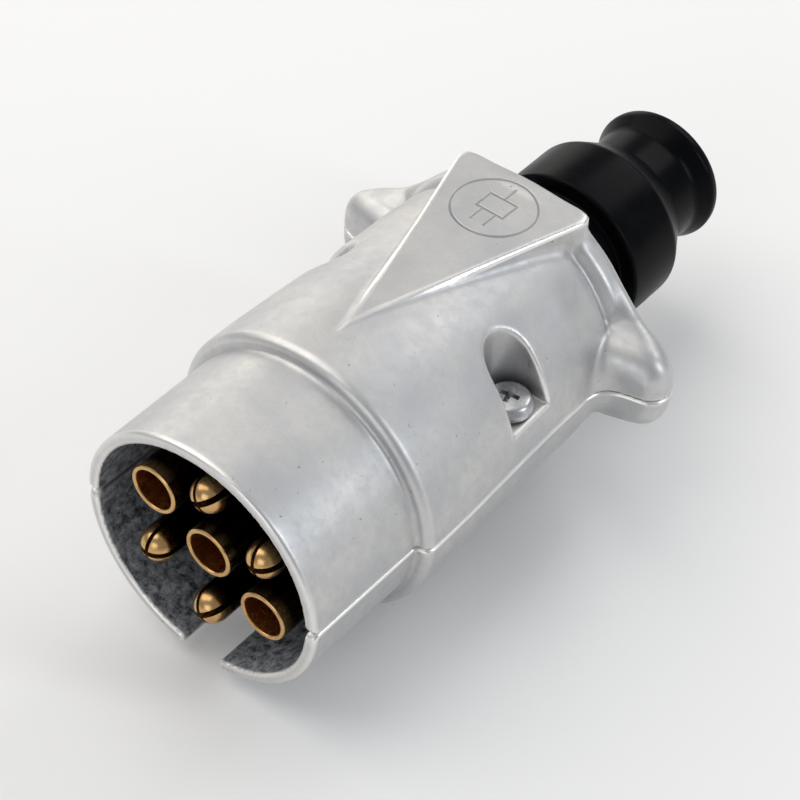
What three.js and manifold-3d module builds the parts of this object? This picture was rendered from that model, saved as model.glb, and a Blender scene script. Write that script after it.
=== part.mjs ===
// Seven-pole trailer plug: a two-piece die-cast shell with finger ears, a moulded insert that carries
// seven brass contacts, a cable clamp and a rubber cable boot. Millimetres, +Z up.
//
// The pieces are laid out in the plug's own frame: the axis runs along +Y from the mouth to the cable,
// the sleeve's rim is at y = RIM_Y, and the two shell halves part at z = 0. One group then lifts and
// centres the whole plug, so that the origin is the middle of the surface it rests on.

import * as THREE from 'three';
import { mergeVertices } from 'three/addons/utils/BufferGeometryUtils.js';
import Module from 'manifold-3d';

const wasm = await Module();
wasm.setup();

// ---------------------------------------------------------------- driving dimensions
const GAP = 0.3;                   // clearance between neighbouring pieces
const FAR = 120;                   // cutters that only have to run clear of the plug
const ROUND = 48;                  // sides of the shell
const MEDIUM = 32;                 // sides of the boot and the insert
const FINE = 20;                   // sides of the contacts
const SMALL = 16;                  // sides of screws and their holes

const REST_Z = -22;                // the flat land the plug rests on
const RIM_Y = 1.1;                 // front of the sleeve
const BOOT_END = 107.6;            // end of the boot

const SLEEVE_R = 20;               // plug sleeve, outside
const SLEEVE_BORE_R = 18;
const SHOULDER_Y = 22;             // where the sleeve meets the body
const BODY_R = 22;                 // largest radius of the shell
const SHELL_END = 71.5;            // rear face of the shell
const REAR_WALL = 67;              // inner face of the rear wall
const CABLE_HOLE_R = 11.1;

const SLOT_WIDTH = 6.6;            // keyway under the sleeve
const SLOT_LENGTH = 12;

const EAR_TIP_X = 29.3;            // half the span over the finger ears

const PAD_FRONT = 31.8;            // raised pad on top: a long triangle
const PAD_REAR = 71;
const PAD_HALF = 11;
const PAD_FRONT_Z = 21.7;
const PAD_REAR_Z = 20.6;
const LAND_FRONT = 26;             // flat land underneath
const LAND_HALF = 9;

const SCREW_X = 16.4;              // housing screws, one each side
const SCREW_Y = 46.2;
const POCKET_R = 4.05;
const POCKET_FLOOR = 5.5;
const POCKET_WALL = 1.8;
const SCREW_R = 1.95;
const HEAD_R = 3.5;
const HEAD_H = 2.2;
const SCREW_END = -6;

const INSERT_FRONT = 13;
const INSERT_REAR = 31;
const INSERT_R = SLEEVE_BORE_R - GAP;
const FLANGE_FRONT = 24;           // the collar that the two halves hold
const FLANGE_REAR = 27;
const FLANGE_R = 19.2;

const PITCH_R = 11;                // circle of the six outer contacts
const TUBE_R = 3.95;
const TUBE_BORE_R = 3;
const TUBE_FRONT = 3;
const TUBE_BORE_END = 22;
const PIN_R = 2.5;
const PIN_FRONT = 1.2;
const PIN_ROOT = 15;               // where the pin thickens inside the insert
const TERMINAL_R = 3.6;
const TERMINAL_END = 39.5;
const WIRE_HOLE_R = 1.7;
const WIRE_HOLE_FRONT = 32.5;
const TERMINAL_SCREW_Y = 35.5;
const TERMINAL_SCREW_R = 1.2;
const TERMINAL_HEAD_R = 1.9;
const TERMINAL_HEAD_H = 1.1;
const CENTRE_SCREW_ANGLE = 60;     // the way the middle contact's screw points, in degrees

const CLAMP_Y = 54.6;              // cable clamp: front edge, width and screw spacing
const CLAMP_WIDTH = 4.6;
const CLAMP_THICK = 1.2;
const CLAMP_SCREW_X = 9.4;
const CLAMP_SCREW_R = 1.4;
const CLAMP_SCREW_END = -8;
const CLAMP_SEAT = 2.25;
const CLAMP_FOOT_X = 12.4;
const CABLE_R = 5.2;               // bore of the boot and of the clamp

const BOOT_COLLAR_R = 16.5;        // held inside the shell, behind the rib
const BOOT_COLLAR_FRONT = 62.4;
const BOOT_NECK_R = 10.8;          // between the shell and the barrel
const BARREL_R = 13.45;
const BARREL_FRONT = 81.6;
const GROOVE_R = 9.4;              // between the barrel and the lip
const LIP_R = 10.65;

// ---------------------------------------------------------------- materials
const metal = (color, roughness) => new THREE.MeshStandardMaterial({ color, roughness, metalness: 1 });
const plastic = (color, roughness) => new THREE.MeshStandardMaterial({ color, roughness, metalness: 0 });

const finish = {
  castShell: metal(0xbdbfc2, 0.42),
  brass: metal(0xb88a4a, 0.28),
  zinc: metal(0xb4b6ba, 0.32),
  insert: plastic(0x0d0e10, 0.3),
  rubber: plastic(0x111215, 0.55),
};

// ---------------------------------------------------------------- solids
// Turns a closed three.js geometry into a solid, with its faces pointing out.
function solid(geometry) {
  const bare = geometry.clone();
  bare.deleteAttribute('normal');
  bare.deleteAttribute('uv');
  const merged = mergeVertices(bare, 1e-4);
  const place = merged.attributes.position.array;
  const index = Array.from(merged.index.array);
  const triangles = [];
  let volume = 0;
  for (let i = 0; i < index.length; i += 3) {
    const [a, b, c] = index.slice(i, i + 3);
    if (a === b || b === c || c === a) continue;
    triangles.push(a, b, c);
    const pa = new THREE.Vector3().fromArray(place, 3 * a);
    const pb = new THREE.Vector3().fromArray(place, 3 * b);
    const pc = new THREE.Vector3().fromArray(place, 3 * c);
    volume += pa.dot(pb.cross(pc));
  }
  if (volume < 0) triangles.reverse();
  return new wasm.Manifold(new wasm.Mesh({
    numProp: 3,
    vertProperties: new Float32Array(place),
    triVerts: new Uint32Array(triangles),
  }));
}

// Turns a solid into a named mesh.
function mesh(name, material, body) {
  const result = body.getMesh();
  const geometry = new THREE.BufferGeometry();
  const vertices = [];
  for (let i = 0; i < result.vertProperties.length; i += result.numProp) {
    vertices.push(...result.vertProperties.slice(i, i + 3));
  }
  geometry.setAttribute('position', new THREE.Float32BufferAttribute(vertices, 3));
  geometry.setIndex(Array.from(result.triVerts));
  geometry.computeVertexNormals();
  const object = new THREE.Mesh(geometry, material);
  object.name = name;
  return object;
}

// A body turned about the plug's axis, from [radius, y] pairs that start and end on the axis.
function turned(pairs, sides = ROUND) {
  return solid(new THREE.LatheGeometry(pairs.map(([r, y]) => new THREE.Vector2(r, y)), sides));
}

// A turned body standing upright, from [radius, z] pairs, at a place in plan.
function upright(pairs, x, y, sides = SMALL) {
  const geometry = new THREE.LatheGeometry(pairs.map(([r, z]) => new THREE.Vector2(r, z)), sides);
  geometry.rotateX(Math.PI / 2);
  geometry.translate(x, y, 0);
  return solid(geometry);
}

function cylinderUp(radius, x, y, low, high) {
  return upright([[0, low], [radius, low], [radius, high], [0, high]], x, y);
}

function box(low, high) {
  const size = high.map((value, i) => value - low[i]);
  const geometry = new THREE.BoxGeometry(...size);
  geometry.translate(...low.map((value, i) => value + size[i] / 2));
  return solid(geometry);
}

function outline(points) {
  return new THREE.Shape(points.map(([a, b]) => new THREE.Vector2(a, b)));
}

// An outline in plan (x, y), extruded upward from low to high.
function plan(points, low, high) {
  const geometry = new THREE.ExtrudeGeometry(outline(points), { depth: high - low, bevelEnabled: false });
  geometry.translate(0, 0, low);
  return solid(geometry);
}

// An outline seen from the mouth (x, z), extruded along the plug's axis from front to rear.
function section(points, front, rear) {
  const geometry = new THREE.ExtrudeGeometry(outline(points), { depth: rear - front, bevelEnabled: false });
  geometry.rotateX(Math.PI / 2);
  geometry.translate(0, rear, 0);
  return solid(geometry);
}

const mirrored = (body) => body.add(body.mirror([1, 0, 0]));

// A slot in plan around the housing screw, with a round inner end, open outward along +X.
function stadium(radius, low, high) {
  const points = [];
  const steps = 12;
  for (let i = 0; i <= steps; i++) {
    const angle = Math.PI / 2 + (Math.PI * i) / steps;
    points.push([SCREW_X + radius * Math.cos(angle), SCREW_Y + radius * Math.sin(angle)]);
  }
  points.push([FAR, SCREW_Y - radius], [FAR, SCREW_Y + radius]);
  return plan(points, low, high);
}

// ---------------------------------------------------------------- shell
// The turned outside: sleeve, step, body tapering to the rear rim.
const shellProfile = [
  [0, RIM_Y], [SLEEVE_R - 0.8, RIM_Y], [SLEEVE_R - 0.2, RIM_Y + 0.35], [SLEEVE_R, RIM_Y + 1],
  [SLEEVE_R, SHOULDER_Y], [BODY_R - 0.7, SHOULDER_Y], [BODY_R - 0.15, SHOULDER_Y + 0.5],
  [BODY_R, SHOULDER_Y + 1.4], [21.9, 28], [21.6, 37], [21.1, 50], [20.9, 58],
  [20.45, 62.5], [20.35, 65.5], [20.7, 68], [20.9, 69.8], [20.6, 71], [19.9, SHELL_END], [0, SHELL_END],
];

// The hollow: sleeve bore, insert seat, wiring chamber, rib, boot seat and cable hole.
const RIB_FRONT = 60;
const RIB_REAR = 61.8;
const RIB_BORE_R = 13;
const SEAT_R = 19.5;
const hollowProfile = [
  [0, 0], [SLEEVE_BORE_R, 0], [SLEEVE_BORE_R, FLANGE_FRONT - GAP], [SEAT_R, FLANGE_FRONT - GAP],
  [SEAT_R, 44], [18.7, RIB_FRONT], [RIB_BORE_R, RIB_FRONT], [RIB_BORE_R, RIB_REAR],
  [BOOT_COLLAR_R + GAP, RIB_REAR], [BOOT_COLLAR_R + GAP, REAR_WALL], [CABLE_HOLE_R, REAR_WALL],
  [CABLE_HOLE_R, SHELL_END + 1], [0, SHELL_END + 1],
];

// One finger ear is what its plan and its rear view have in common.
function ear() {
  const flare = [
    [14, 52], [20.4, 52], [20.9, 54.5], [21.5, 57], [22.3, 59], [23.3, 60.7], [24.6, 62], [26.1, 62.9],
    [27.5, 64.1], [28.5, 65.6], [29.1, 67.2], [EAR_TIP_X, 68.8], [29, 70.3], [28.1, SHELL_END],
    [14, SHELL_END],
  ];
  const wing = [
    [17.2, 11.6], [18.6, 10.1], [20.6, 8.6], [22.6, 7.4], [24.4, 6.4], [26, 5.2], [27.4, 3.7], [28.6, 1.9],
    [EAR_TIP_X, 0],
  ];
  const below = wing.slice(0, -1).reverse().map(([x, z]) => [x, -z]);
  const rearView = [[13, 11.6], ...wing, ...below, [13, -11.6]];
  return plan(flare, -FAR, FAR).intersect(section(rearView, 0, FAR));
}

// The raised triangular pad; its top falls gently to the rear.
function pad() {
  const corner = 3;
  const root = 16;
  const right = [
    [0.6, PAD_FRONT], [PAD_HALF - 0.2, PAD_REAR - corner], [PAD_HALF, PAD_REAR - corner / 2],
    [PAD_HALF - 0.7, PAD_REAR - 0.4], [PAD_HALF - 2.2, PAD_REAR],
  ];
  const left = right.map(([x, y]) => [-x, y]).reverse();
  const depth = PAD_FRONT_Z - root;
  const geometry = new THREE.ExtrudeGeometry(outline([...right, ...left]), { depth, bevelEnabled: false });
  geometry.translate(0, 0, root);
  const place = geometry.attributes.position;
  const fall = (PAD_FRONT_Z - PAD_REAR_Z) / (PAD_REAR - PAD_FRONT);
  for (let i = 0; i < place.count; i++) {
    if (place.getZ(i) > root + 1) place.setZ(i, PAD_FRONT_Z - fall * (place.getY(i) - PAD_FRONT));
  }
  return solid(geometry);
}

function land() {
  const right = [[1, LAND_FRONT], [LAND_HALF, PAD_REAR - 4], [LAND_HALF - 1.5, PAD_REAR]];
  const left = right.map(([x, y]) => [-x, y]).reverse();
  return plan([...right, ...left], REST_Z, REST_Z + 6);
}

const outside = turned(shellProfile).add(mirrored(ear())).add(pad()).add(land());
const screwHoles = mirrored(cylinderUp(SCREW_R + GAP, SCREW_X, SCREW_Y, SCREW_END - 1, POCKET_FLOOR + 1));
const clampHoles = (low) => mirrored(
  cylinderUp(CLAMP_SCREW_R + GAP, CLAMP_SCREW_X, CLAMP_Y + CLAMP_WIDTH / 2, low, CLAMP_SEAT + 3));

function upperShell() {
  const wall = mirrored(stadium(POCKET_R + POCKET_WALL, -1, FAR)).intersect(outside);
  const pockets = mirrored(stadium(POCKET_R, POCKET_FLOOR, FAR));
  return outside.subtract(turned(hollowProfile))
    .add(wall)
    .subtract(pockets)
    .subtract(screwHoles)
    .intersect(box([-FAR, -FAR, GAP / 2], [FAR, FAR, FAR]));
}

// The cross wall under the clamp, with a round seat for the cable.
function saddle() {
  const half = 14;
  const top = 0.4;
  const seatSteps = 6;
  const seatR = CABLE_R + 0.4;
  const points = [[half, top], [half, -BODY_R], [-half, -BODY_R], [-half, top]];
  for (let i = 0; i <= seatSteps; i++) {
    const angle = Math.PI + (Math.PI * i) / seatSteps;
    points.push([seatR * Math.cos(angle), seatR * Math.sin(angle)]);
  }
  return section(points, CLAMP_Y, CLAMP_Y + CLAMP_WIDTH).intersect(outside);
}

function lowerShell() {
  const bosses = mirrored(stadium(POCKET_R + 0.6, SCREW_END - 3, 0)).intersect(outside);
  const keyway = box([-SLOT_WIDTH / 2, -FAR, -BODY_R], [SLOT_WIDTH / 2, SLOT_LENGTH, 6 - SLEEVE_BORE_R]);
  return outside.subtract(turned(hollowProfile))
    .add(bosses)
    .add(saddle())
    .subtract(screwHoles)
    .subtract(clampHoles(CLAMP_SCREW_END - 1.5))
    .subtract(keyway)
    .intersect(box([-FAR, -FAR, -FAR], [FAR, FAR, -GAP / 2]));
}

// ---------------------------------------------------------------- insert and contacts
const DEG = Math.PI / 180;
const at = (degrees) => [PITCH_R * Math.cos(degrees * DEG), PITCH_R * Math.sin(degrees * DEG)];
const tubes = [[0, 0], at(150), at(330)];
const pins = [at(30), at(90), at(210), at(270)];

function contactInsert() {
  let body = turned([
    [0, INSERT_FRONT], [INSERT_R - 0.6, INSERT_FRONT], [INSERT_R, INSERT_FRONT + 0.6],
    [INSERT_R, FLANGE_FRONT], [FLANGE_R, FLANGE_FRONT], [FLANGE_R, FLANGE_REAR], [INSERT_R, FLANGE_REAR],
    [INSERT_R - 0.6, INSERT_REAR], [0, INSERT_REAR],
  ], MEDIUM);
  const tubeBore = turned([[0, 0], [TUBE_R + GAP, 0], [TUBE_R + GAP, FAR], [0, FAR]], FINE);
  for (const [x, z] of tubes) body = body.subtract(tubeBore.translate([x, 0, z]));
  const pinBore = turned([[0, 0], [PIN_R + GAP, 0], [PIN_R + GAP, PIN_ROOT - GAP],
    [TERMINAL_R + GAP, PIN_ROOT - GAP], [TERMINAL_R + GAP, FAR], [0, FAR]], FINE);
  for (const [x, z] of pins) body = body.subtract(pinBore.translate([x, 0, z]));
  return body;
}

// The wire hole from behind and the tapped cross hole for the terminal screw, pointing along +Z.
function terminalHoles() {
  const wire = turned([[0, WIRE_HOLE_FRONT], [WIRE_HOLE_R, WIRE_HOLE_FRONT], [WIRE_HOLE_R, FAR], [0, FAR]],
    SMALL);
  return wire.add(cylinderUp(TERMINAL_SCREW_R + GAP, 0, TERMINAL_SCREW_Y, 0, 6));
}

function tubeContact() {
  return turned([
    [0, TUBE_BORE_END], [TUBE_BORE_R, TUBE_BORE_END], [TUBE_BORE_R, TUBE_FRONT + 0.2],
    [TUBE_BORE_R + 0.2, TUBE_FRONT], [TUBE_R - 0.25, TUBE_FRONT], [TUBE_R, TUBE_FRONT + 0.25],
    [TUBE_R, TERMINAL_END], [0, TERMINAL_END],
  ], FINE).subtract(terminalHoles());
}

function pinContact() {
  const dome = [];
  const steps = 4;
  for (let i = 0; i <= steps; i++) {
    const angle = (Math.PI / 2) * (i / steps);
    dome.push([PIN_R * Math.sin(angle), PIN_FRONT + PIN_R * (1 - Math.cos(angle))]);
  }
  const slitEnd = 10;
  const wide = box([-PIN_R - 1, 0, -0.3], [PIN_R + 1, slitEnd, 0.3]);
  const thin = box([-0.2, 0, -PIN_R - 1], [0.2, slitEnd, PIN_R + 1]);
  return turned([...dome, [PIN_R, PIN_ROOT], [TERMINAL_R, PIN_ROOT], [TERMINAL_R, TERMINAL_END],
    [0, TERMINAL_END]], FINE)
    .subtract(wide.add(thin))
    .subtract(terminalHoles());
}

// A cheese-head screw standing along +Z, with its slot across the head.
function terminalScrew(seat) {
  const top = seat + TERMINAL_HEAD_H;
  return upright([[0, 0.8], [TERMINAL_SCREW_R, 0.8], [TERMINAL_SCREW_R, seat], [TERMINAL_HEAD_R, seat],
    [TERMINAL_HEAD_R, top], [0, top]], 0, TERMINAL_SCREW_Y)
    .subtract(box([-3, TERMINAL_SCREW_Y - 0.25, top - 0.6], [3, TERMINAL_SCREW_Y + 0.25, top + 1]));
}

// ---------------------------------------------------------------- fasteners, clamp and boot
function panScrew(x, y, seat, headR, headH, shankR, end, recess) {
  const top = seat + headH;
  const wing = recess * 0.5;
  const depth = headH * 0.55;
  const cross = box([x - wing, y - wing * 0.26, top - depth], [x + wing, y + wing * 0.26, top + 1])
    .add(box([x - wing * 0.26, y - wing, top - depth], [x + wing * 0.26, y + wing, top + 1]));
  return upright([[0, end], [shankR, end], [shankR, seat], [headR, seat], [headR, seat + headH * 0.4],
    [headR * 0.88, seat + headH * 0.75], [headR * 0.6, seat + headH * 0.94], [0, top]], x, y)
    .subtract(cross);
}

function clampBar() {
  const centre = 0.9;
  const inner = CABLE_R + 0.5;
  const outer = inner + CLAMP_THICK;
  const steps = 8;
  const arch = (radius, from, to) => Array.from({ length: steps + 1 }, (_, i) => {
    const angle = from + ((to - from) * i) / steps;
    return [radius * Math.cos(angle), centre + radius * Math.sin(angle)];
  });
  const low = 0.75;
  const high = low + CLAMP_THICK;
  const rise = Math.asin((high - centre) / outer);
  const points = [[CLAMP_FOOT_X, low], [CLAMP_FOOT_X, high], ...arch(outer, rise, Math.PI - rise),
    [-CLAMP_FOOT_X, high], [-CLAMP_FOOT_X, low], ...arch(inner, Math.PI, 0)];
  return section(points, CLAMP_Y, CLAMP_Y + CLAMP_WIDTH).subtract(clampHoles(-1));
}

function rubberBoot() {
  // The ring's outline closes on itself.
  return turned([
    [CABLE_R, BOOT_COLLAR_FRONT], [BOOT_COLLAR_R, BOOT_COLLAR_FRONT],
    [BOOT_COLLAR_R, REAR_WALL - GAP], [BOOT_NECK_R, REAR_WALL - GAP],
    [BOOT_NECK_R, BARREL_FRONT], [BARREL_R - 0.5, BARREL_FRONT], [BARREL_R, BARREL_FRONT + 0.5],
    [BARREL_R, 91.4], [13.2, 92.5], [12.6, 93.6], [11.1, 96.1], [10.5, 96.7], [9.6, 97.3],
    [GROOVE_R, 98.6], [GROOVE_R, 102], [9.65, 103.3], [10.15, 104.8], [LIP_R, 106], [LIP_R - 0.2, 106.9],
    [LIP_R - 0.8, BOOT_END - 0.1], [LIP_R - 1.4, BOOT_END], [CABLE_R + 0.6, BOOT_END],
    [CABLE_R, BOOT_END - 0.8], [CABLE_R, BOOT_COLLAR_FRONT],
  ], MEDIUM);
}

// ---------------------------------------------------------------- assembly
const plug = new THREE.Group();

plug.add(mesh('upper_shell', finish.castShell, upperShell()));
plug.add(mesh('lower_shell', finish.castShell, lowerShell()));
plug.add(mesh('contact_insert', finish.insert, contactInsert()));

// Contacts and their screws are made upright at the axis, turned to point their screw outward and
// moved to their place in the circle.
let terminal = 0;
function addContact(name, body, x, z, radius) {
  const outward = x === 0 && z === 0 ? CENTRE_SCREW_ANGLE : Math.atan2(z, x) / DEG;
  const turn = -(outward - 90);
  terminal += 1;
  plug.add(mesh(name, finish.brass, body.rotate([0, turn, 0]).translate([x, 0, z])));
  plug.add(mesh(`terminal_screw_${terminal}`, finish.zinc,
    terminalScrew(radius + GAP).rotate([0, turn, 0]).translate([x, 0, z])));
}
tubes.forEach(([x, z], i) => addContact(`tube_contact_${i + 1}`, tubeContact(), x, z, TUBE_R));
pins.forEach(([x, z], i) => addContact(`pin_contact_${i + 1}`, pinContact(), x, z, TERMINAL_R));

for (const [side, sign] of [['right', 1], ['left', -1]]) {
  plug.add(mesh(`housing_screw_${side}`, finish.zinc,
    panScrew(sign * SCREW_X, SCREW_Y, POCKET_FLOOR + GAP, HEAD_R, HEAD_H, SCREW_R, SCREW_END, 4)));
  plug.add(mesh(`clamp_screw_${side}`, finish.zinc,
    panScrew(sign * CLAMP_SCREW_X, CLAMP_Y + CLAMP_WIDTH / 2, CLAMP_SEAT, 2.7, 1.7, CLAMP_SCREW_R,
      CLAMP_SCREW_END, 3)));
}
plug.add(mesh('clamp_bar', finish.zinc, clampBar()));
plug.add(mesh('rubber_grommet', finish.rubber, rubberBoot()));

plug.position.set(0, -(RIM_Y + BOOT_END) / 2, -REST_Z);

const trailerPlug = new THREE.Group();
trailerPlug.add(plug);
export default trailerPlug;
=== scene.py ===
import math

import bpy
import numpy as np
from mathutils import Matrix, Vector


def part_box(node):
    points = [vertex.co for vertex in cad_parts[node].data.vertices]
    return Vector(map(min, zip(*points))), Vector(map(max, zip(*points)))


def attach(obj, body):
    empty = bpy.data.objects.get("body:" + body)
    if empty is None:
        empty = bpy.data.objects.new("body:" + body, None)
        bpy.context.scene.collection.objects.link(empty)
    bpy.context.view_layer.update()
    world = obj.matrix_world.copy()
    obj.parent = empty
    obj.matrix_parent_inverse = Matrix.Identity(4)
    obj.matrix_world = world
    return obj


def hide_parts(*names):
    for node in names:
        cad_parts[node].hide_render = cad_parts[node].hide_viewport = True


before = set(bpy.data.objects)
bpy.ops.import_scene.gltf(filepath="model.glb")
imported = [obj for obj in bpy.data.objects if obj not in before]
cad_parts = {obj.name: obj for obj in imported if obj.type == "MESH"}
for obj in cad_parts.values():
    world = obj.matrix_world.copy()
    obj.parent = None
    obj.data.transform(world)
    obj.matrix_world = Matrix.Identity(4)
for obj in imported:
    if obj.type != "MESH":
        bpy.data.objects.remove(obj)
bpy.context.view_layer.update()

# ------------------------------------------------------------------ the plug's own frame
# Shapes are worked out in millimetres in the plug's frame: the axis runs along +Y from the mouth to the
# cable, the sleeve's rim is at y = RIM_Y, and the two shell halves part at z = 0. AXIS moves that frame
# into the scene.
MM = 0.001
RIM_Y = 1.1
insert_low, insert_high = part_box("contact_insert")
upper_low, upper_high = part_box("upper_shell")
lower_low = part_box("lower_shell")[0]
boot_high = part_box("rubber_grommet")[1]
AXIS = Vector((0, upper_low.y - RIM_Y * MM, (insert_low.z + insert_high.z) / 2))


def along(metres):
    """A scene y in the plug's own millimetres."""
    return (metres - AXIS.y) / MM


SHELL_END = along(upper_high.y)
BOOT_END = along(boot_high.y)
REST_Z = (lower_low.z - AXIS.z) / MM
EAR_TIP_X = upper_high.x / MM
SEAM = 0.15                        # half the gap between the shell halves

# sleeve, body and ears
SLEEVE_R = 20.0
SHOULDER_Y = 22.0                  # where the sleeve meets the body
BODY_R = 22.05
GROOVE_Y = 66.6                    # the groove in front of the rear collar
EAR_NOSE_R = 4.65
EAR_NOSE_Y = 68.5
EAR_FLANK = math.radians(14.5)     # how far the ears' front leans back
EAR_HEIGHT = 7.2
EAR_BEND_X = 24.9                  # the ears are at their height here and higher towards the body

# pad on top, with its mark, and flat land underneath
PAD_TIP_Y = 31.2                   # the pad is a wedge in plan with its tip to the front
PAD_REAR_Y = 71.2
PAD_ACROSS, PAD_ALONG = 0.958, 0.287
PAD_TOP = 21.85
LAND_TIP_Y = 22
LAND_REAR_Y = 71.0
EMBLEM_Y = 62.8
EMBLEM_R = 6.2
EMBLEM_FLOOR = 20.2                # nothing below this height is engraved

# bores, from the mouth to the cable
BORE_R = 18.3
KEYWAY_HALF = 3.3
KEYWAY_END = 12
SEAT_Y = 23.7                      # the insert's seat starts here and runs into the wiring chamber
SEAT_R = 19.3
RIB_Y = 60.0                       # the rib between the chamber and the boot's groove
RIB_R = 13.0
BOOT_GROOVE_Y = 61.8
BOOT_GROOVE_R = 16.8
BOOT_GROOVE_END = 67.0
BOOT_HOLE_R = 11.1
CABLE_R = 5.2

# screws of the housing and of the cable clamp
SCREW_LOW, SCREW_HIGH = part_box("housing_screw_right")
SCREW_X = (SCREW_LOW.x + SCREW_HIGH.x) / 2 / MM
SCREW_Y = along((SCREW_LOW.y + SCREW_HIGH.y) / 2)
SCREW_TOP = (SCREW_HIGH.z - AXIS.z) / MM
SCREW_HOLE_R = 2.25
POCKET_R = 4.05
POCKET_FLOOR = 5.5
CLAMP_LOW, CLAMP_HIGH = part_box("clamp_bar")
CLAMP_FRONT = along(CLAMP_LOW.y)
CLAMP_REAR = along(CLAMP_HIGH.y)
CLAMP_SCREW_LOW, CLAMP_SCREW_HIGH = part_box("clamp_screw_right")
CLAMP_SCREW_X = (CLAMP_SCREW_LOW.x + CLAMP_SCREW_HIGH.x) / 2 / MM
CLAMP_SCREW_Y = (CLAMP_FRONT + CLAMP_REAR) / 2
CLAMP_HOLE_R = 1.7

# contacts and insert
PITCH_R = 11.0                     # the circle that six of the contacts stand on
TUBE_Y = 3.0                       # the tubes' mouth
TUBE_R = 3.85
TUBE_BORE_R = 3.15
TUBE_SHANK_R = 3.95
PIN_Y = 1.2                        # the pins' tips
PIN_R = 2.65
PIN_SHANK_R = 3.6
PIN_SLITS = [16, 34, 2, 32]        # the way each pin's wide slit is turned, in degrees from +X
CONTACT_END = 39.5
TERMINAL_Y = 35.5                  # the terminal screws' place on the contacts
INSERT_FRONT = 13
INSERT_REAR = 31
INSERT_R = 17.7
FLANGE_FRONT = 24
FLANGE_REAR = 27
FLANGE_R = 19.2


# ------------------------------------------------------------------ camera, floor and light
def add_camera():
    """A long lens that looks down into the mouth from the front right."""
    azimuth, elevation, roll = math.radians(36.75), math.radians(45.2), math.radians(3.2)
    distance = 0.3552
    aim = Vector((-0.001, AXIS.y + 0.0447, AXIS.z - 0.0036))
    back = Vector((math.sin(azimuth) * math.cos(elevation), -math.cos(azimuth) * math.cos(elevation),
                   math.sin(elevation)))
    right = Vector((math.cos(azimuth), math.sin(azimuth), 0))
    up = back.cross(right)
    turned_right = right * math.cos(roll) + up * math.sin(roll)
    turned_up = back.cross(turned_right)
    data = bpy.data.cameras.new("camera")
    data.sensor_width = 36
    data.lens = 112.5
    data.clip_start = 0.01
    data.clip_end = 20
    camera = bpy.data.objects.new("camera", data)
    bpy.context.scene.collection.objects.link(camera)
    rotation = Matrix((turned_right, turned_up, back)).transposed()
    camera.matrix_world = Matrix.Translation(aim + back * distance) @ rotation.to_4x4()
    bpy.context.scene.camera = camera


def add_area(name, place, target, size, power, colour):
    """A soft rectangular light aimed at its target."""
    data = bpy.data.lights.new(name, "AREA")
    data.shape = "RECTANGLE"
    data.size, data.size_y = size
    data.energy = power
    data.color = colour
    light = bpy.data.objects.new(name, data)
    bpy.context.scene.collection.objects.link(light)
    towards = Vector(target) - Vector(place)
    light.matrix_world = Matrix.Translation(place) @ towards.to_track_quat("-Z", "Y").to_matrix().to_4x4()


def add_stage():
    """White paper underneath, a pale sky and five soft lights."""
    reach = 4.0
    mesh = bpy.data.meshes.new("floor")
    corners = [(-reach, -reach, 0), (reach, -reach, 0), (reach, reach, 0), (-reach, reach, 0)]
    mesh.from_pydata(corners, [], [(0, 1, 2, 3)])
    floor = bpy.data.objects.new("floor", mesh)
    bpy.context.scene.collection.objects.link(floor)
    paper = bpy.data.materials.new("floor_paper")
    paper.use_nodes = True
    shader = paper.node_tree.nodes["Principled BSDF"]
    shader.inputs["Base Color"].default_value = (0.93, 0.93, 0.93, 1)
    shader.inputs["Roughness"].default_value = 0.9
    mesh.materials.append(paper)

    world = bpy.data.worlds.new("studio")
    world.use_nodes = True
    sky = world.node_tree.nodes["Background"]
    sky.inputs["Color"].default_value = (0.95, 0.97, 1, 1)
    sky.inputs["Strength"].default_value = 0.36
    bpy.context.scene.world = world

    centre = Vector((0, 0, AXIS.z))
    add_area("key", (-0.5, -0.1, 0.8), centre, (1.1, 1.1), 5.7, (1, 0.965, 0.91))
    add_area("left_rear", (-0.75, 0.5, 0.24), centre, (0.6, 0.4), 1.1, (1, 0.95, 0.88))
    add_area("front_fill", (0.1, -0.8, 0.3), centre, (0.5, 0.4), 0.9, (0.94, 0.97, 1))
    add_area("side_strip", (0.7, 0.25, 0.45), centre, (0.12, 0.5), 1.4, (0.92, 0.96, 1))
    add_area("rear_top", (0.05, 0.7, 0.6), centre, (0.6, 0.3), 1.6, (1, 1, 1))
    bpy.context.scene.view_settings.view_transform = "Standard"


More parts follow.
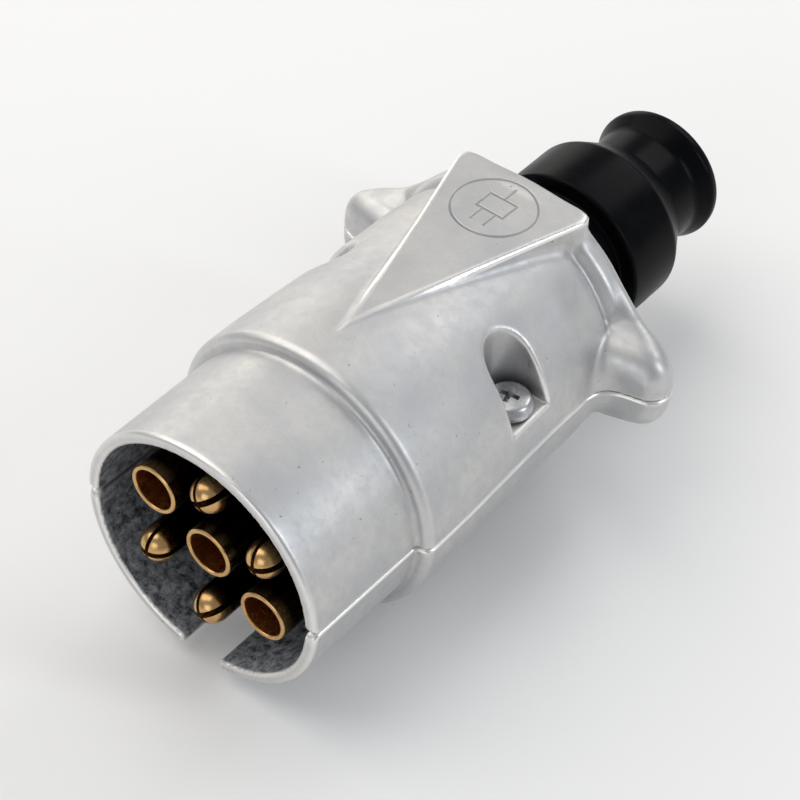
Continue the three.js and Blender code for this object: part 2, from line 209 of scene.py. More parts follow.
# ------------------------------------------------------------------ material nodes
class Nodes:
    """A material's node tree, with short calls for the nodes used here."""

    def __init__(self, name):
        self.material = bpy.data.materials.new(name)
        self.material.use_nodes = True
        self.tree = self.material.node_tree
        self.shader = self.tree.nodes["Principled BSDF"]
        coordinates = self.add("ShaderNodeTexCoord")
        scale = self.add("ShaderNodeMapping")
        scale.inputs["Scale"].default_value = (1000, 1000, 1000)
        self.link(coordinates.outputs["Object"], scale.inputs["Vector"])
        self.place = scale.outputs["Vector"]     # object coordinates in millimetres

    def add(self, kind):
        return self.tree.nodes.new(kind)

    def link(self, output, socket):
        self.tree.links.new(output, socket)

    def feed(self, value, socket):
        """Sets a socket to a constant, or links another node's output to it."""
        if isinstance(value, tuple):
            socket.default_value = (*value, 1)
        elif isinstance(value, (int, float)):
            socket.default_value = value
        else:
            self.link(value, socket)

    def noise(self, scale, detail=4.0, rough=0.55, stretch=None, distortion=0.0):
        node = self.add("ShaderNodeTexNoise")
        node.inputs["Scale"].default_value = scale
        node.inputs["Detail"].default_value = detail
        node.inputs["Roughness"].default_value = rough
        node.inputs["Distortion"].default_value = distortion
        if stretch:
            mapping = self.add("ShaderNodeMapping")
            mapping.inputs["Scale"].default_value = stretch
            self.link(self.place, mapping.inputs["Vector"])
            self.link(mapping.outputs["Vector"], node.inputs["Vector"])
        else:
            self.link(self.place, node.inputs["Vector"])
        return node.outputs["Fac"]

    def plug_place(self):
        """The shading point's x, y and z in the plug's own millimetres."""
        split = self.add("ShaderNodeSeparateXYZ")
        self.link(self.place, split.inputs["Vector"])
        return [self.math("SUBTRACT", split.outputs[i], AXIS[i] / MM) for i in range(3)]

    def box_distance(self, x, y, half_x, half_y):
        """Distance in plan outside a rectangle about x = y = 0, negative inside."""
        across = self.math("SUBTRACT", self.math("ABSOLUTE", x, 0.0), half_x)
        length = self.math("SUBTRACT", self.math("ABSOLUTE", y, 0.0), half_y)
        return self.math("MAXIMUM", across, length)

    def attribute(self, name):
        node = self.add("ShaderNodeAttribute")
        node.attribute_name = name
        return node.outputs["Fac"]

    def span(self, value, low, high, out_low=0.0, out_high=1.0):
        """Maps low..high to out_low..out_high, held at the ends."""
        node = self.add("ShaderNodeMapRange")
        node.inputs["From Min"].default_value = low
        node.inputs["From Max"].default_value = high
        node.inputs["To Min"].default_value = out_low
        node.inputs["To Max"].default_value = out_high
        self.link(value, node.inputs["Value"])
        return node.outputs["Result"]

    def math(self, kind, a, b):
        node = self.add("ShaderNodeMath")
        node.operation = kind
        self.feed(a, node.inputs[0])
        self.feed(b, node.inputs[1])
        return node.outputs["Value"]

    def mix(self, kind, factor, a, b):
        node = self.add("ShaderNodeMix")
        node.data_type = kind
        self.feed(factor, node.inputs["Factor"])
        self.feed(a, node.inputs["A"])
        self.feed(b, node.inputs["B"])
        return node.outputs["Result"]

    def blend(self, factor, a, b):
        """Mixes two colours."""
        return self.mix("RGBA", factor, a, b)

    def mix_value(self, factor, a, b):
        return self.mix("FLOAT", factor, a, b)

    def bump(self, height, strength, distance, normal=None):
        node = self.add("ShaderNodeBump")
        node.inputs["Strength"].default_value = strength
        node.inputs["Distance"].default_value = distance
        self.link(height, node.inputs["Height"])
        if normal:
            self.link(normal, node.inputs["Normal"])
        return node.outputs["Normal"]

    def finish(self, colour, roughness, normal, metallic=0.0, specular=0.5):
        """Feeds the shader's sockets and gives the finished material."""
        for value, socket in ((colour, "Base Color"), (roughness, "Roughness"), (normal, "Normal"),
                              (metallic, "Metallic"), (specular, "Specular IOR Level")):
            self.feed(value, self.shader.inputs[socket])
        return self.material


def emblem(n):
    """An engraved ring round a plain plug sign: how deep the engraving is, from 0 to 1."""
    x, y, z = n.plug_place()
    y = n.math("SUBTRACT", y, EMBLEM_Y)
    squares = n.math("ADD", n.math("POWER", x, 2.0), n.math("POWER", y, 2.0))
    ring = n.math("SUBTRACT", n.math("POWER", squares, 0.5), EMBLEM_R)
    body = n.box_distance(x, n.math("SUBTRACT", y, 0.6), 2.3, 1.7)
    beside = n.math("SUBTRACT", n.math("ABSOLUTE", x, 0.0), 1.15)
    prong = n.box_distance(beside, n.math("ADD", y, 2.6), 0.0, 1.4)
    cord = n.box_distance(x, n.math("SUBTRACT", y, 3.6), 0.0, 1.3)
    line = n.math("ABSOLUTE", ring, 0.0)
    for stroke in (n.math("ABSOLUTE", body, 0.0), prong, cord):
        line = n.math("MINIMUM", line, stroke)
    depth = n.span(line, 0.08, 0.26, 1, 0)
    return n.math("MULTIPLY", depth, n.math("GREATER_THAN", z, EMBLEM_FLOOR))


def painted_pad_highlight(n):
    """A painted highlight along the pad's two slanting edges, from 0 to 1."""
    x, y, z = n.plug_place()
    across = n.math("MULTIPLY", n.math("ABSOLUTE", x, 0.0), PAD_ACROSS)
    from_edge = n.math("SUBTRACT", across, n.math("MULTIPLY", n.math("SUBTRACT", y, PAD_TIP_Y), PAD_ALONG))
    line = n.span(n.math("ABSOLUTE", n.math("ADD", from_edge, 0.15), 0.0), 0.5, 0.28)
    high = n.span(z, PAD_TOP - 1.4, PAD_TOP - 1.1)
    behind_tip = n.span(y, PAD_TIP_Y + 2, PAD_TIP_Y + 6)
    return n.math("MULTIPLY", line, n.math("MULTIPLY", high, behind_tip))


def cast_shell_material():
    """Tumbled die casting: cloudy satin grey with fine grain and small pits. Edges are lightened as wear and
    painted highlight, the pad's edges carry a painted highlight, and the engraving and the inside surfaces
    are darkened as painted shade.
    """
    n = Nodes("cast_shell")
    cloud = n.noise(0.11, 5, 0.6)
    blotch = n.noise(0.55, 6, 0.65, distortion=0.4)
    grain = n.noise(5.5, 3, 0.6)
    pit_field = n.noise(1.5, 2, 0.5)
    pits = n.span(pit_field, 0.27, 0.235)
    # The pad's slanting edges get a painted highlight line, joined to the edge mask.
    edge = n.math("MAXIMUM", n.span(n.attribute("edge"), 0.12, 0.9), painted_pad_highlight(n))
    inside = n.attribute("inside")

    base = n.blend(n.span(cloud, 0.35, 0.65), (0.55, 0.553, 0.565), (0.655, 0.645, 0.625))
    base = n.blend(n.span(blotch, 0.36, 0.7, 0, 0.5), base, (0.51, 0.515, 0.525))
    base = n.blend(n.span(grain, 0.35, 0.7, 0, 0.16), base, (0.38, 0.38, 0.39))
    # Sharp edges are lightened towards near white, partly as wear and partly as painted highlight.
    base = n.blend(n.math("MULTIPLY", edge, 0.8), base, (0.97, 0.955, 0.92))
    base = n.blend(n.math("MULTIPLY", pits, 0.55), base, (0.16, 0.16, 0.165))

    mark = emblem(n)
    # The engraving is darkened as painted shade in its grooves.
    base = n.blend(n.math("MULTIPLY", mark, 0.6), base, (0.20, 0.20, 0.205))
    # Inside surfaces take a mottled cast scale, darkened as painted shade for the hollow.
    scale = n.noise(0.75, 9, 0.75, distortion=0.3)
    inside_scale_and_shade = n.blend(n.span(scale, 0.38, 0.62), (0.045, 0.05, 0.06), (0.50, 0.52, 0.56))
    base = n.blend(inside, base, inside_scale_and_shade)

    rough = n.span(blotch, 0.3, 0.7, 0.42, 0.54)
    rough = n.mix_value(edge, rough, 0.32)
    rough = n.mix_value(inside, rough, 0.62)

    swell = n.bump(blotch, 0.06, 0.0004)
    fine = n.bump(grain, 0.10, 0.00008, swell)
    dents = n.bump(n.math("SUBTRACT", 1.0, pits), 0.4, 0.00012, fine)
    engraved = n.bump(n.math("SUBTRACT", 1.0, mark), 0.6, 0.00025, dents)
    coarse = n.math("MULTIPLY", scale, inside)
    normal = n.bump(coarse, 0.5, 0.0007, engraved)
    return n.finish(base, rough, normal, n.span(inside, 0, 1, 1.0, 0.55))


def brass_material():
    """Turned brass: fine rings from the lathe, a little tarnish, painted shade on the shanks deep in the
    plug and a brighter painted-light colour in the tubes' bores.
    """
    n = Nodes("turned_brass")
    tarnish = n.noise(0.7, 5, 0.6)
    rings = n.noise(1.0, 2, 0.5, stretch=(0.3, 9.0, 0.3))
    base = n.blend(n.span(tarnish, 0.35, 0.7), (0.66, 0.42, 0.19), (0.54, 0.32, 0.12))
    bore = n.attribute("bore")
    # Shanks deep in the plug are darkened as painted shade; the bores are spared.
    depth = n.span(n.plug_place()[1], 3.3, 5.0)
    base = n.blend(n.math("MULTIPLY", depth, n.span(bore, 0, 1, 1, 0)), base, (0.035, 0.016, 0.005))
    # The tubes' bores take a brighter colour as painted light.
    base = n.blend(bore, base, (0.72, 0.40, 0.15))
    rough = n.span(tarnish, 0.3, 0.7, 0.2, 0.32)
    return n.finish(base, rough, n.bump(rings, 0.12, 0.00006), metallic=1.0)


def zinc_material():
    """Bright zinc plate, slightly cloudy."""
    n = Nodes("zinc_plate")
    cloud = n.noise(1.3, 5, 0.6)
    base = n.blend(n.span(cloud, 0.35, 0.7), (0.60, 0.60, 0.61), (0.42, 0.42, 0.43))
    rough = n.span(cloud, 0.3, 0.7, 0.24, 0.42)
    return n.finish(base, rough, n.bump(n.noise(6, 3), 0.1, 0.0001), metallic=1.0)


def clamp_material():
    """Rolled steel strip with its length-wise scratches under thin zinc."""
    n = Nodes("clamp_steel")
    scratches = n.noise(1.0, 4, 0.6, stretch=(0.4, 6.0, 6.0))
    base = n.blend(n.span(scratches, 0.35, 0.7), (0.56, 0.55, 0.52), (0.40, 0.40, 0.40))
    rough = n.span(scratches, 0.3, 0.7, 0.3, 0.45)
    return n.finish(base, rough, n.bump(scratches, 0.15, 0.0001), metallic=1.0)


def insert_material():
    """Glossy black moulding with faint flow marks."""
    n = Nodes("black_moulding")
    flow = n.noise(0.5, 4, 0.5, distortion=0.8)
    base = n.blend(n.span(flow, 0.3, 0.7), (0.0022, 0.0022, 0.0025), (0.005, 0.005, 0.0055))
    rough = n.span(flow, 0.3, 0.7, 0.3, 0.42)
    return n.finish(base, rough, n.bump(n.noise(3, 3), 0.05, 0.0001), specular=0.25)


def rubber_material():
    """Moulded rubber: satin black with a fine skin and a little bloom."""
    n = Nodes("moulded_rubber")
    bloom = n.noise(0.25, 5, 0.6)
    skin = n.noise(7.0, 3, 0.6)
    base = n.blend(n.span(bloom, 0.4, 0.7), (0.0016, 0.0018, 0.0026), (0.0032, 0.0035, 0.0046))
    rough = n.span(bloom, 0.3, 0.7, 0.26, 0.34)
    normal = n.bump(skin, 0.05, 0.00005, n.bump(bloom, 0.06, 0.0003))
    return n.finish(base, rough, normal, specular=0.06)


# ------------------------------------------------------------------ mesh helpers
def to_scene(points):
    """Plug millimetres to scene metres."""
    return np.asarray(points, float) * MM + np.array(AXIS)


def add_piece(name, points, faces, material, sharp=None):
    """A smooth-shaded object from points in plug millimetres, with creases above the sharp angle."""
    mesh = bpy.data.meshes.new(name)
    mesh.from_pydata([tuple(p) for p in to_scene(points)], [], [tuple(int(i) for i in f) for f in faces])
    mesh.validate()
    mesh.update()
    mesh.shade_smooth()
    if sharp:
        mesh.set_sharp_from_angle(angle=math.radians(sharp))
    mesh.materials.append(material)
    piece = bpy.data.objects.new(name, mesh)
    bpy.context.scene.collection.objects.link(piece)
    return piece


def eased(profile, steps=5):
    """A profile of (a, b) or (a, b, radius) points, with the corners that give a radius rounded off."""
    points = []
    count = len(profile)
    for i, corner in enumerate(profile):
        here = Vector(corner[:2])
        if len(corner) == 2 or i in (0, count - 1):
            points.append(tuple(here))
            continue
        to_last = Vector(profile[i - 1][:2]) - here
        to_next = Vector(profile[i + 1][:2]) - here
        reach = corner[2] / math.tan(to_last.angle(to_next) / 2)
        start = here + to_last.normalized() * reach
        end = here + to_next.normalized() * reach
        for k in range(steps + 1):
            t = k / steps
            points.append(tuple(start * (1 - t) ** 2 + here * 2 * t * (1 - t) + end * t ** 2))
    return points


def lathe(profile, sides):
    """Points and faces of a body turned about its own Z, from (radius, height) pairs. A profile that
    starts and ends off the axis is closed on itself."""
    points = []
    rings = []
    for radius, height in profile:
        if radius < 1e-6:
            rings.append([len(points)] * sides)
            points.append((0, 0, height))
            continue
        rings.append(list(range(len(points), len(points) + sides)))
        for k in range(sides):
            angle = 2 * math.pi * k / sides
            points.append((radius * math.cos(angle), radius * math.sin(angle), height))
    faces = []
    pairs = list(zip(rings, rings[1:]))
    if profile[0][0] > 1e-6:
        pairs.append((rings[-1], rings[0]))
    for low, high in pairs:
        for k in range(sides):
            j = (k + 1) % sides
            corners = []
            for index in (low[k], low[j], high[j], high[k]):
                if index not in corners:
                    corners.append(index)
            if len(corners) > 2:
                faces.append(corners)
    return np.array(points), faces


def aligned(points, direction, place):
    """Turns points made about +Z so that +Z runs along direction, and moves them to a place."""
    turn = Vector(direction).to_track_quat("Z", "X").to_matrix()
    return np.asarray(points) @ np.array(turn).T + np.array(place)


def along_axis(points):
    """Turns points made about +Z so that height runs along the plug's +Y."""
    points = np.asarray(points)
    return np.column_stack([-points[:, 0], points[:, 2], points[:, 1]])


def block(size, centre, turn=0.0):
    """Points and faces of a box turned about +Y, for cutting."""
    corners = np.array([(x, y, z) for x in (-1, 1) for y in (-1, 1) for z in (-1, 1)]) * np.array(size) / 2
    turn = np.array(Matrix.Rotation(turn, 3, "Y"))
    faces = [(0, 1, 3, 2), (4, 6, 7, 5), (0, 4, 5, 1), (2, 3, 7, 6), (0, 2, 6, 4), (1, 5, 7, 3)]
    return corners @ turn.T + np.array(centre), faces


def carve(piece, cutters, sharp=35):
    """Cuts closed shapes, each (points, faces), out of a piece."""
    for i, (points, faces) in enumerate(cutters):
        tool = add_piece(f"cutter_{i}", points, faces, piece.data.materials[0])
        cut = piece.modifiers.new("cut", "BOOLEAN")
        cut.operation = "DIFFERENCE"
        cut.solver = "EXACT"
        cut.object = tool
        graph = bpy.context.evaluated_depsgraph_get()
        mesh = bpy.data.meshes.new_from_object(piece.evaluated_get(graph), depsgraph=graph)
        piece.modifiers.clear()
        old = piece.data
        piece.data = mesh
        mesh.name = piece.name
        bpy.data.meshes.remove(old)
        bpy.data.objects.remove(tool)
    piece.data.shade_smooth()
    piece.data.set_sharp_from_angle(angle=math.radians(sharp))
    return piece


def settle(piece, body, node):
    """Stands a finished piece in for its CAD node and lets it move with its body."""
    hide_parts(node)
    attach(piece, body)


# ------------------------------------------------------------------ rounded solids as distance fields
# The castings are written as distance functions of (x, y, z) arrays, negative inside, so that every
# joint between two shapes gets the soft radius that a casting has.
def soft_min(a, b, k):
    """The union of two fields with a blend about k wide."""
    h = np.clip(0.5 + 0.5 * (b - a) / k, 0, 1)
    return b + (a - b) * h - k * h * (1 - h)


def soft_max(a, b, k):
    """The overlap of two fields with a blend about k wide."""
    return -soft_min(-a, -b, k)


def ramp(value, low, high):
    """Rises smoothly from 0 at low to 1 at high."""
    t = np.clip((value - low) / (high - low), 0, 1)
    return t * t * (3 - 2 * t)


def body_radius(y):
    """Outer radius of the body behind the shoulder: gentle taper, groove and rear collar."""
    taper = 1.2 * ramp(y, SHOULDER_Y, 58) + 0.35 * ramp(y, 58, 65)
    groove = 0.9 * np.exp(-((y - GROOVE_Y) / 0.95) ** 2)
    collar = 0.4 * ramp(y, GROOVE_Y + 0.2, GROOVE_Y + 2)
    return BODY_R - taper - groove + collar


def turned_field(radius, y):
    """The turned outside: the sleeve runs into the body at a square shoulder with a rounded brow."""
    body = soft_max((radius - body_radius(y)) * 0.95, SHOULDER_Y - y, 1.5)
    sleeve = np.maximum(radius - SLEEVE_R, y - SHOULDER_Y - 6)
    return soft_min(sleeve, body, 0.7)


def ear_field(x, y, z):
    """A finger ear: a blunt wedge seen from behind, cut by a round-nosed plan whose front leans back.
    The wedge is level in front and steeper to the rear; 0.857 makes its height a distance."""
    side, height = np.abs(x), np.abs(z)
    tip = EAR_TIP_X + 0.9
    rearward = ramp(y, 66.0, 70.5)
    top = EAR_HEIGHT + 0.9 * rearward + (EAR_BEND_X - side) * (0.05 + 0.5 * rearward)
    wedge = (height - top) * 0.857
    blunt = np.hypot(side - tip + 11, height) - 11
    rear_view = soft_max(wedge, blunt, 3.0)

    across = side - tip + EAR_NOSE_R
    ahead = EAR_NOSE_Y + 5.6 * ramp(height, 3, 15.5) - y
    flank = across * math.sin(EAR_FLANK) + ahead * math.cos(EAR_FLANK)
    inward = ahead * math.sin(EAR_FLANK) - across * math.cos(EAR_FLANK)
    plan = np.where(inward < 0, np.hypot(across, ahead), flank) - EAR_NOSE_R
    slab = soft_max(rear_view, plan, 2.6)
    return np.maximum(soft_max(slab, y - SHELL_END - 0.8, 7.0), 12 - side)


def pad_top(y):
    """The pad's height, which falls gently to the rear."""
    return PAD_TOP - 0.018 * (y - PAD_TIP_Y)


def pad_edge(x, y):
    """Distance in plan outside the pad's slanting edges."""
    return np.abs(x) * PAD_ACROSS - (y - PAD_TIP_Y) * PAD_ALONG


def pad_field(x, y, z):
    """The raised triangular pad."""
    outline = soft_max(pad_edge(x, y), y - PAD_REAR_Y, 3.4)
    return np.maximum(soft_max(outline, z - pad_top(y), 0.6), 8 - z)


def land_field(x, y, z):
    """The flat land under the plug."""
    edge = np.abs(x) * 0.977 - (y - LAND_TIP_Y) * 0.213
    outline = soft_max(edge, y - LAND_REAR_Y, 4.0)
    return np.maximum(soft_max(outline, REST_Z - z, 0.8), z + 8)


def outside_field(x, y, z):
    """Both halves' outside as one closed shape."""
    radius = np.hypot(x, z)
    fillet = 3.8 - 3.2 * ramp(np.abs(z), 0, 8) * (1 - 0.8 * ramp(y, 67.5, 70.5))
    solid = soft_min(turned_field(radius, y), ear_field(x, y, z), fillet)
    solid = soft_min(solid, pad_field(x, y, z), 1.3)
    solid = soft_min(solid, land_field(x, y, z), 1.8)
    solid = soft_max(solid, RIM_Y - y, 0.9)
    solid = soft_max(solid, y - SHELL_END, 1.4)
    return np.maximum(solid, REST_Z - z)


def hollow_field(x, y, z):
    """The sleeve bore, insert seat with wiring chamber, rib, boot groove and boot hole."""
    radius = np.hypot(x, z)
    bores = [
        (BORE_R, -9, SEAT_Y),
        (SEAT_R, SEAT_Y, RIB_Y),
        (RIB_R, RIB_Y - 1, BOOT_GROOVE_Y + 0.7),
        (BOOT_GROOVE_R, BOOT_GROOVE_Y, BOOT_GROOVE_END),
        (BOOT_HOLE_R, BOOT_GROOVE_END - 1, 80),
    ]
    parts = [np.maximum(radius - bore, np.maximum(front - y, y - rear)) for bore, front, rear in bores]
    return np.minimum.reduce(parts)


def pocket_plan(x, y):
    """Distance in plan from the screw's centre line, run out to the side: a slot with a round end."""
    side = np.abs(x) - SCREW_X
    return np.where(side < 0, np.hypot(side, y - SCREW_Y), np.abs(y - SCREW_Y))


def screw_hole(x, y, centre_x, centre_y, radius):
    """A pair of upright holes, one on each side."""
    return np.hypot(np.abs(x) - centre_x, y - centre_y) - radius


def upper_field(x, y, z):
    """The upper half: hollow, with the screws' side pockets."""
    boss = pocket_plan(x, y) - POCKET_R - 1.8
    hollow = soft_max(hollow_field(x, y, z), -boss, 0.8)
    shell = soft_max(outside_field(x, y, z), -hollow, 0.4)
    pocket = np.maximum(pocket_plan(x, y) - POCKET_R, POCKET_FLOOR - z)
    shell = soft_max(shell, -pocket, 0.45)
    shell = soft_max(shell, -screw_hole(x, y, SCREW_X, SCREW_Y, SCREW_HOLE_R), 0.3)
    corner = soft_max(SEAM - z, RIM_Y - y, 1.6)
    return soft_max(shell, corner, 0.3)


def lower_field(x, y, z):
    """The lower half: hollow, with screw bosses, the clamp's saddle and the keyway."""
    boss = np.maximum(pocket_plan(x, y) - POCKET_R - 0.6, -9 - z)
    saddle = np.maximum(np.maximum(CLAMP_FRONT - y, y - CLAMP_REAR), np.abs(x) - 14)
    saddle = soft_max(saddle, CABLE_R + 0.4 - np.hypot(x, z), 0.5)
    filled = soft_min(boss, saddle, 0.8)
    hollow = soft_max(hollow_field(x, y, z), -filled, 0.8)
    shell = soft_max(outside_field(x, y, z), -hollow, 0.4)
    hole = np.maximum(screw_hole(x, y, SCREW_X, SCREW_Y, SCREW_HOLE_R), -7 - z)
    shell = soft_max(shell, -hole, 0.3)
    hole = np.maximum(screw_hole(x, y, CLAMP_SCREW_X, CLAMP_SCREW_Y, CLAMP_HOLE_R), -9.5 - z)
    shell = soft_max(shell, -hole, 0.3)
    keyway = np.maximum(np.maximum(np.abs(x) - KEYWAY_HALF, y - KEYWAY_END), z + 10)
    shell = soft_max(shell, -keyway, 0.5)
    corner = soft_max(z + SEAM, RIM_Y - y, 1.6)
    return soft_max(shell, corner, 0.3)


GRID_STEP = 0.42


def mesh_field(field, low, high, step):
    """The zero surface of a field as quads: one point in each grid cell that the surface crosses."""
    axes = [np.arange(a, b + step, step) for a, b in zip(low, high)]
    grid = np.meshgrid(*axes, indexing="ij")
    value = field(*grid)
    shape = np.array(value.shape) - 1
    total = np.zeros((*shape, 3))
    hits = np.zeros(shape)

    def shifted(array, offset):
        return array[tuple(slice(o, o + s) for o, s in zip(offset, shape))]

    offsets = [(i, j, k) for i in (0, 1) for j in (0, 1) for k in (0, 1)]
    for axis in range(3):
        for start in (o for o in offsets if o[axis] == 0):
            end = tuple(o + (1 if i == axis else 0) for i, o in enumerate(start))
            a, b = shifted(value, start), shifted(value, end)
            cross = (a < 0) != (b < 0)
            t = a / np.where(cross, a - b, 1)
            for i in range(3):
                total[..., i] += np.where(cross, start[i] + (t if i == axis else 0), 0)
            hits += cross
    active = hits > 0
    index = np.full(tuple(shape), -1)
    index[active] = np.arange(active.sum())
    cell = np.stack(np.nonzero(active), 1)
    points = (cell + total[active] / hits[active][:, None]) * step + np.array(low)

    faces = []
    inside = value < 0
    for axis in range(3):
        one, two = [(1, 2), (2, 0), (0, 1)][axis]
        view = [slice(1, -1)] * 3
        view[axis] = slice(0, -1)
        ahead = list(view)
        ahead[axis] = slice(1, None)
        here, there = inside[tuple(view)], inside[tuple(ahead)]
        for rising in (True, False):
            at = np.stack(np.nonzero((here & ~there) if rising else (~here & there)), 1)
            at = at + [0 if i == axis else 1 for i in range(3)]
            ring = []
            for da, db in ((-1, -1), (0, -1), (0, 0), (-1, 0)):
                move = np.zeros(3, int)
                move[one], move[two] = da, db
                spot = at + move
                ring.append(index[spot[:, 0], spot[:, 1], spot[:, 2]])
            quad = np.stack(ring, 1)
            faces.append(quad if rising else quad[:, ::-1])
    faces = np.concatenate(faces)

    for _ in range(3):
        points -= np.clip(newton_step(field, points), -0.4 * step, 0.4 * step)
    return points, faces


def newton_step(field, points, reach=0.02):
    """How far each point is from the surface, as a vector along the field's gradient."""
    value = field(*points.T)
    slope = np.stack([(field(*(points + d).T) - field(*(points - d).T)) / (2 * reach)
                      for d in np.eye(3) * reach], 1)
    return value[:, None] * slope / np.maximum((slope ** 2).sum(1), 0.05)[:, None]


def sharpness(field, points, reach=0.45):
    """How convex the surface is at each point: 0 on flats, towards 1 on sharp edges, which the shell's
    colour lightens as wear and painted highlight.
    """
    around = sum(field(*(points + d).T) for e in np.eye(3) * reach for d in (e, -e))
    return np.clip((around - 6 * field(*points.T)) / reach ** 2 * 0.45, 0, 1)


def add_casting(name, field, low, high, material):
    """Meshes a field and marks where the surface is inside the plug, which the colour darkens partly as
    painted shade, and how sharp its edges are, which the colour lightens as wear and painted highlight.
    """
    step = GRID_STEP
    points, faces = mesh_field(field, low, high, step)
    piece = add_piece(name, points, faces, material)
    x, y, z = points.T
    buried = ramp(-outside_field(x, y, z), 0.4, 0.7)
    open_pocket = (pocket_plan(x, y) < POCKET_R + 0.3) & (z > POCKET_FLOOR - 0.3)
    seam_face = np.abs(z) < SEAM + 0.25
    rear_face = y > SHELL_END - 0.6
    inside = np.where(open_pocket | seam_face | rear_face, 0, buried)
    for label, values in (("inside", inside), ("edge", sharpness(field, points))):
        layer = piece.data.attributes.new(label, "FLOAT", "POINT")
        layer.data.foreach_set("value", values.astype(np.float32))
    return piece


def add_shells(material):
    """Both castings, each meshed in a box with some room round it."""
    reach = EAR_TIP_X + 1.2
    front = -1
    rear = 73
    height = 23.2
    below = 0.8
    upper = add_casting("upper_shell_casting", upper_field, (-reach, front, -below), (reach, rear, height),
                        material)
    settle(upper, "cover", "upper_shell")
    lower = add_casting("lower_shell_casting", lower_field, (-reach, front, -height), (reach, rear, below),
                        material)
    settle(lower, "plug", "lower_shell")


# ------------------------------------------------------------------ contacts and insert
def on_circle(degrees):
    angle = math.radians(degrees)
    return (PITCH_R * math.cos(angle), PITCH_R * math.sin(angle))


TUBES = [(0, 0), on_circle(150), on_circle(330)]
PINS = [on_circle(30), on_circle(90), on_circle(210), on_circle(270)]


def add_insert(material):
    """The moulding that holds the contacts, with its flange and a stepped hole for each contact."""
    profile = eased([
        (0, INSERT_FRONT), (INSERT_R, INSERT_FRONT, 0.5), (INSERT_R, FLANGE_FRONT, 0.2),
        (FLANGE_R, FLANGE_FRONT, 0.3), (FLANGE_R, FLANGE_REAR, 0.3), (INSERT_R, FLANGE_REAR, 0.2),
        (INSERT_R, INSERT_REAR, 0.6), (0, INSERT_REAR),
    ])
    points, faces = lathe(profile, 128)
    insert = add_piece("insert_moulding", along_axis(points), faces, material)
    front = INSERT_FRONT - 3
    rear = INSERT_REAR + 4
    step = INSERT_FRONT + 1.7
    tube, pin, shank = TUBE_R + 0.25, PIN_R + 0.15, PIN_SHANK_R + 0.2
    tube_hole = [(0, front), (tube, front), (tube, rear), (0, rear)]
    pin_hole = [(0, front), (pin, front), (pin, step), (shank, step), (shank, rear), (0, rear)]
    cutters = []
    for places, outline in ((TUBES, tube_hole), (PINS, pin_hole)):
        hole, sides = lathe(outline, 48)
        cutters += [(along_axis(hole) + (x, 0, z), sides) for x, z in places]
    carve(insert, cutters)
    settle(insert, "plug", "contact_insert")


def add_tubes(brass):
    """The turned tubes, open in front, with a small bevel round the mouth."""
    bevel = 0.15
    profile = eased([
        (0, 22), (TUBE_BORE_R, 22, 0.2), (TUBE_BORE_R, TUBE_Y + bevel, 0.1),
        (TUBE_BORE_R + 0.1, TUBE_Y, 0.04), (TUBE_R - bevel, TUBE_Y, 0.06),
        (TUBE_R, TUBE_Y + bevel, 0.08), (TUBE_R, 15, 0.1),
        (TUBE_SHANK_R, 15.1, 0.1), (TUBE_SHANK_R, CONTACT_END, 0.3), (0, CONTACT_END),
    ])
    points, faces = lathe(profile, 96)
    # Marks the bore, which the brass colour paints brighter as painted light.
    in_bore = (np.hypot(points[:, 0], points[:, 1]) < TUBE_BORE_R + 0.05).astype(np.float32)
    for i, (x, z) in enumerate(TUBES):
        tube = add_piece(f"tube_contact_{i + 1}_turned", along_axis(points) + (x, 0, z), faces, brass, 30)
        bore = tube.data.attributes.new("bore", "FLOAT", "POINT")
        bore.data.foreach_set("value", in_bore)
        settle(tube, "plug", f"tube_contact_{i + 1}")


def add_pins(brass):
    """The turned pins: round tips split by one wide and one narrow slit."""
    arc = [math.radians(degrees) for degrees in range(0, 91, 6)]
    dome = [(PIN_R * math.sin(a), PIN_Y + PIN_R * (1 - math.cos(a))) for a in arc]
    shank = [
        (PIN_R, 3.9), (PIN_R, 15), (PIN_SHANK_R, 15, 0.3), (PIN_SHANK_R, CONTACT_END, 0.3),
        (0, CONTACT_END),
    ]
    points, faces = lathe(dome + eased(shank)[1:], 80)
    for i, (x, z) in enumerate(PINS):
        pin = add_piece(f"pin_contact_{i + 1}_turned", along_axis(points) + (x, 0, z), faces, brass, 30)
        turn = -math.radians(PIN_SLITS[i])
        wide = block((8, 18, 0.9), (x, 0, z), turn)
        narrow = block((0.6, 18, 8), (x, 0, z), turn)
        carve(pin, [wide, narrow], 30)
        settle(pin, "plug", f"pin_contact_{i + 1}")


# ------------------------------------------------------------------ screws, clamp and boot
def slotted_screw(name, head_r, head_h, seat, shank_r, end, place, direction, material):
    """A cheese-head screw; heights run along its direction from its place."""
    top = seat + head_h
    profile = eased([
        (0, end), (shank_r, end, 0.15), (shank_r, seat), (head_r, seat, 0.12), (head_r, top, 0.3),
        (0, top),
    ])
    points, faces = lathe(profile, 48)
    slot, sides = block((head_r * 3, 0.5, 1.2), (0, 0, top))
    screw = add_piece(name, aligned(points, direction, place), faces, material, 30)
    return carve(screw, [(aligned(slot, direction, place), sides)], 30)


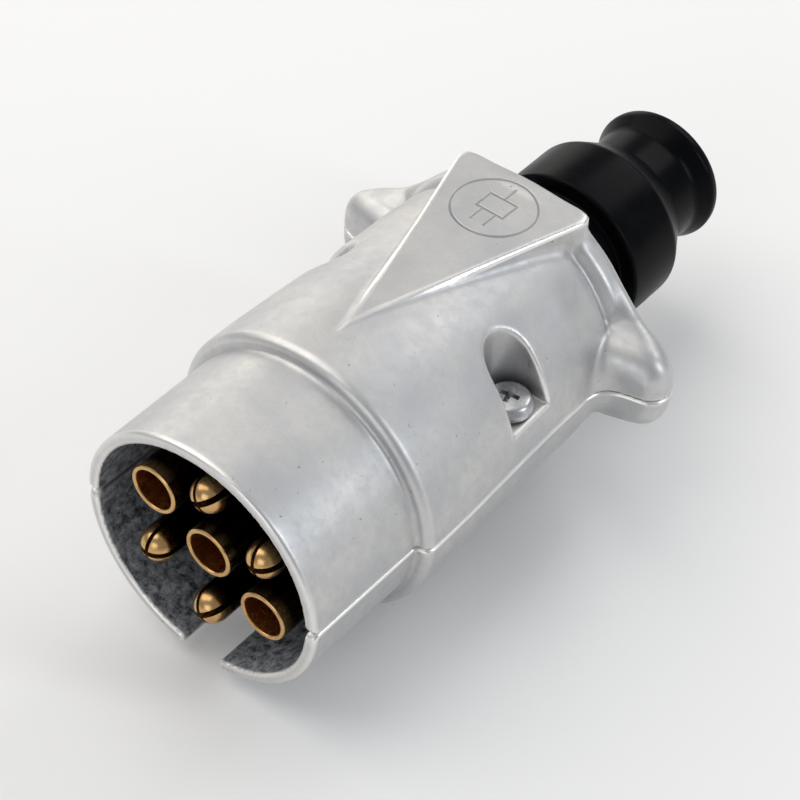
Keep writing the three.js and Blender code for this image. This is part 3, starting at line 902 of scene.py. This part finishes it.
def pan_screw(name, x, y, seat, head_r, head_h, shank_r, end, cross, material):
    """A pan-head screw with a cross recess that narrows as it deepens."""
    top = seat + head_h
    profile = eased([
        (0, end), (shank_r, end, 0.2), (shank_r, seat), (head_r, seat, 0.15),
        (head_r, seat + head_h * 0.42, 0.35), (head_r * 0.84, seat + head_h * 0.86, 0.8), (0, top + 0.1),
    ])
    points, faces = lathe(profile, 64)
    screw = add_piece(name, points + (x, y, 0), faces, material, 30)
    corners = []
    for length, width, height in ((cross / 6, cross * 0.11 * 0.6, top - head_h * 0.62),
                                  (cross / 2, cross * 0.11, top + 0.6)):
        corners += [(-length, -width, height), (length, -width, height), (length, width, height),
                    (-length, width, height)]
    sides = [(0, 3, 2, 1), (4, 5, 6, 7), (0, 1, 5, 4), (1, 2, 6, 5), (2, 3, 7, 6), (3, 0, 4, 7)]
    cutters = []
    for turn in (12, 102):
        spin = np.array(Matrix.Rotation(math.radians(turn), 3, "Z"))
        cutters.append((np.array(corners) @ spin.T + (x, y, 0), sides))
    return carve(screw, cutters, 30)


def add_screws(zinc):
    """The housing screws, the clamp's screws and the seven terminal screws."""
    seat = POCKET_FLOOR + 0.3
    for side, sign in (("right", 1), ("left", -1)):
        housing = f"housing_screw_{side}"
        screw = pan_screw(f"{housing}_head", sign * SCREW_X, SCREW_Y, seat, head_r=3.5,
                          head_h=SCREW_TOP - seat, shank_r=1.95, end=-6, cross=3.9, material=zinc)
        settle(screw, housing, housing)
        clamp = f"clamp_screw_{side}"
        screw = pan_screw(f"{clamp}_head", sign * CLAMP_SCREW_X, CLAMP_SCREW_Y, 2.25, head_r=2.7, head_h=1.7,
                          shank_r=1.4, end=-8, cross=2.8, material=zinc)
        settle(screw, clamp, clamp)
    contacts = [(x, z, TUBE_SHANK_R) for x, z in TUBES] + [(x, z, PIN_SHANK_R) for x, z in PINS]
    for i, (x, z, radius) in enumerate(contacts):
        outward = math.atan2(z, x) if (x, z) != (0, 0) else math.radians(60)
        direction = (math.cos(outward), 0, math.sin(outward))
        terminal = f"terminal_screw_{i + 1}"
        screw = slotted_screw(f"{terminal}_head", head_r=1.9, head_h=1.1, seat=radius + 0.3, shank_r=1.2,
                              end=0.8, place=(x, TERMINAL_Y, z), direction=direction, material=zinc)
        settle(screw, terminal, terminal)


def add_boot(rubber):
    """The boot: a flange in the shell's groove, then the stem, barrel, neck and flared lip."""
    flange = BOOT_GROOVE_R - 0.3
    front = BOOT_GROOVE_Y + 0.6
    rear = BOOT_GROOVE_END - 0.3
    stem, barrel, neck, lip = 10.8, 13.45, 9.4, 10.85
    barrel_front, barrel_rear = 81.6, 92.0
    neck_front, neck_rear = 97.2, 103.2
    profile = eased([
        (CABLE_R, front), (flange, front, 0.5), (flange, rear, 0.5), (stem, rear, 0.3),
        (stem, barrel_front, 0.5), (barrel, barrel_front, 0.6), (barrel, barrel_rear, 2.0),
        (10.7, neck_front - 0.6, 0.5), (neck, neck_front, 0.5), (neck, neck_rear, 3.0), (lip, 105.9, 1.6),
        (lip - 0.25, BOOT_END, 1.1), (CABLE_R, BOOT_END, 0.6), (CABLE_R, front + 0.1),
    ], 9)
    points, faces = lathe(profile, 144)
    boot = add_piece("cable_boot", along_axis(points), faces, rubber, 40)
    settle(boot, "plug", "rubber_grommet")


def finish_clamp_bar(steel):
    """The strap keeps its CAD shape and takes a rolled steel finish."""
    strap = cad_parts["clamp_bar"]
    strap.data.materials.clear()
    strap.data.materials.append(steel)


# ------------------------------------------------------------------ the whole plug
add_camera()
add_stage()
turned_brass = brass_material()
add_shells(cast_shell_material())
add_insert(insert_material())
add_tubes(turned_brass)
add_pins(turned_brass)
add_screws(zinc_material())
add_boot(rubber_material())
finish_clamp_bar(clamp_material())
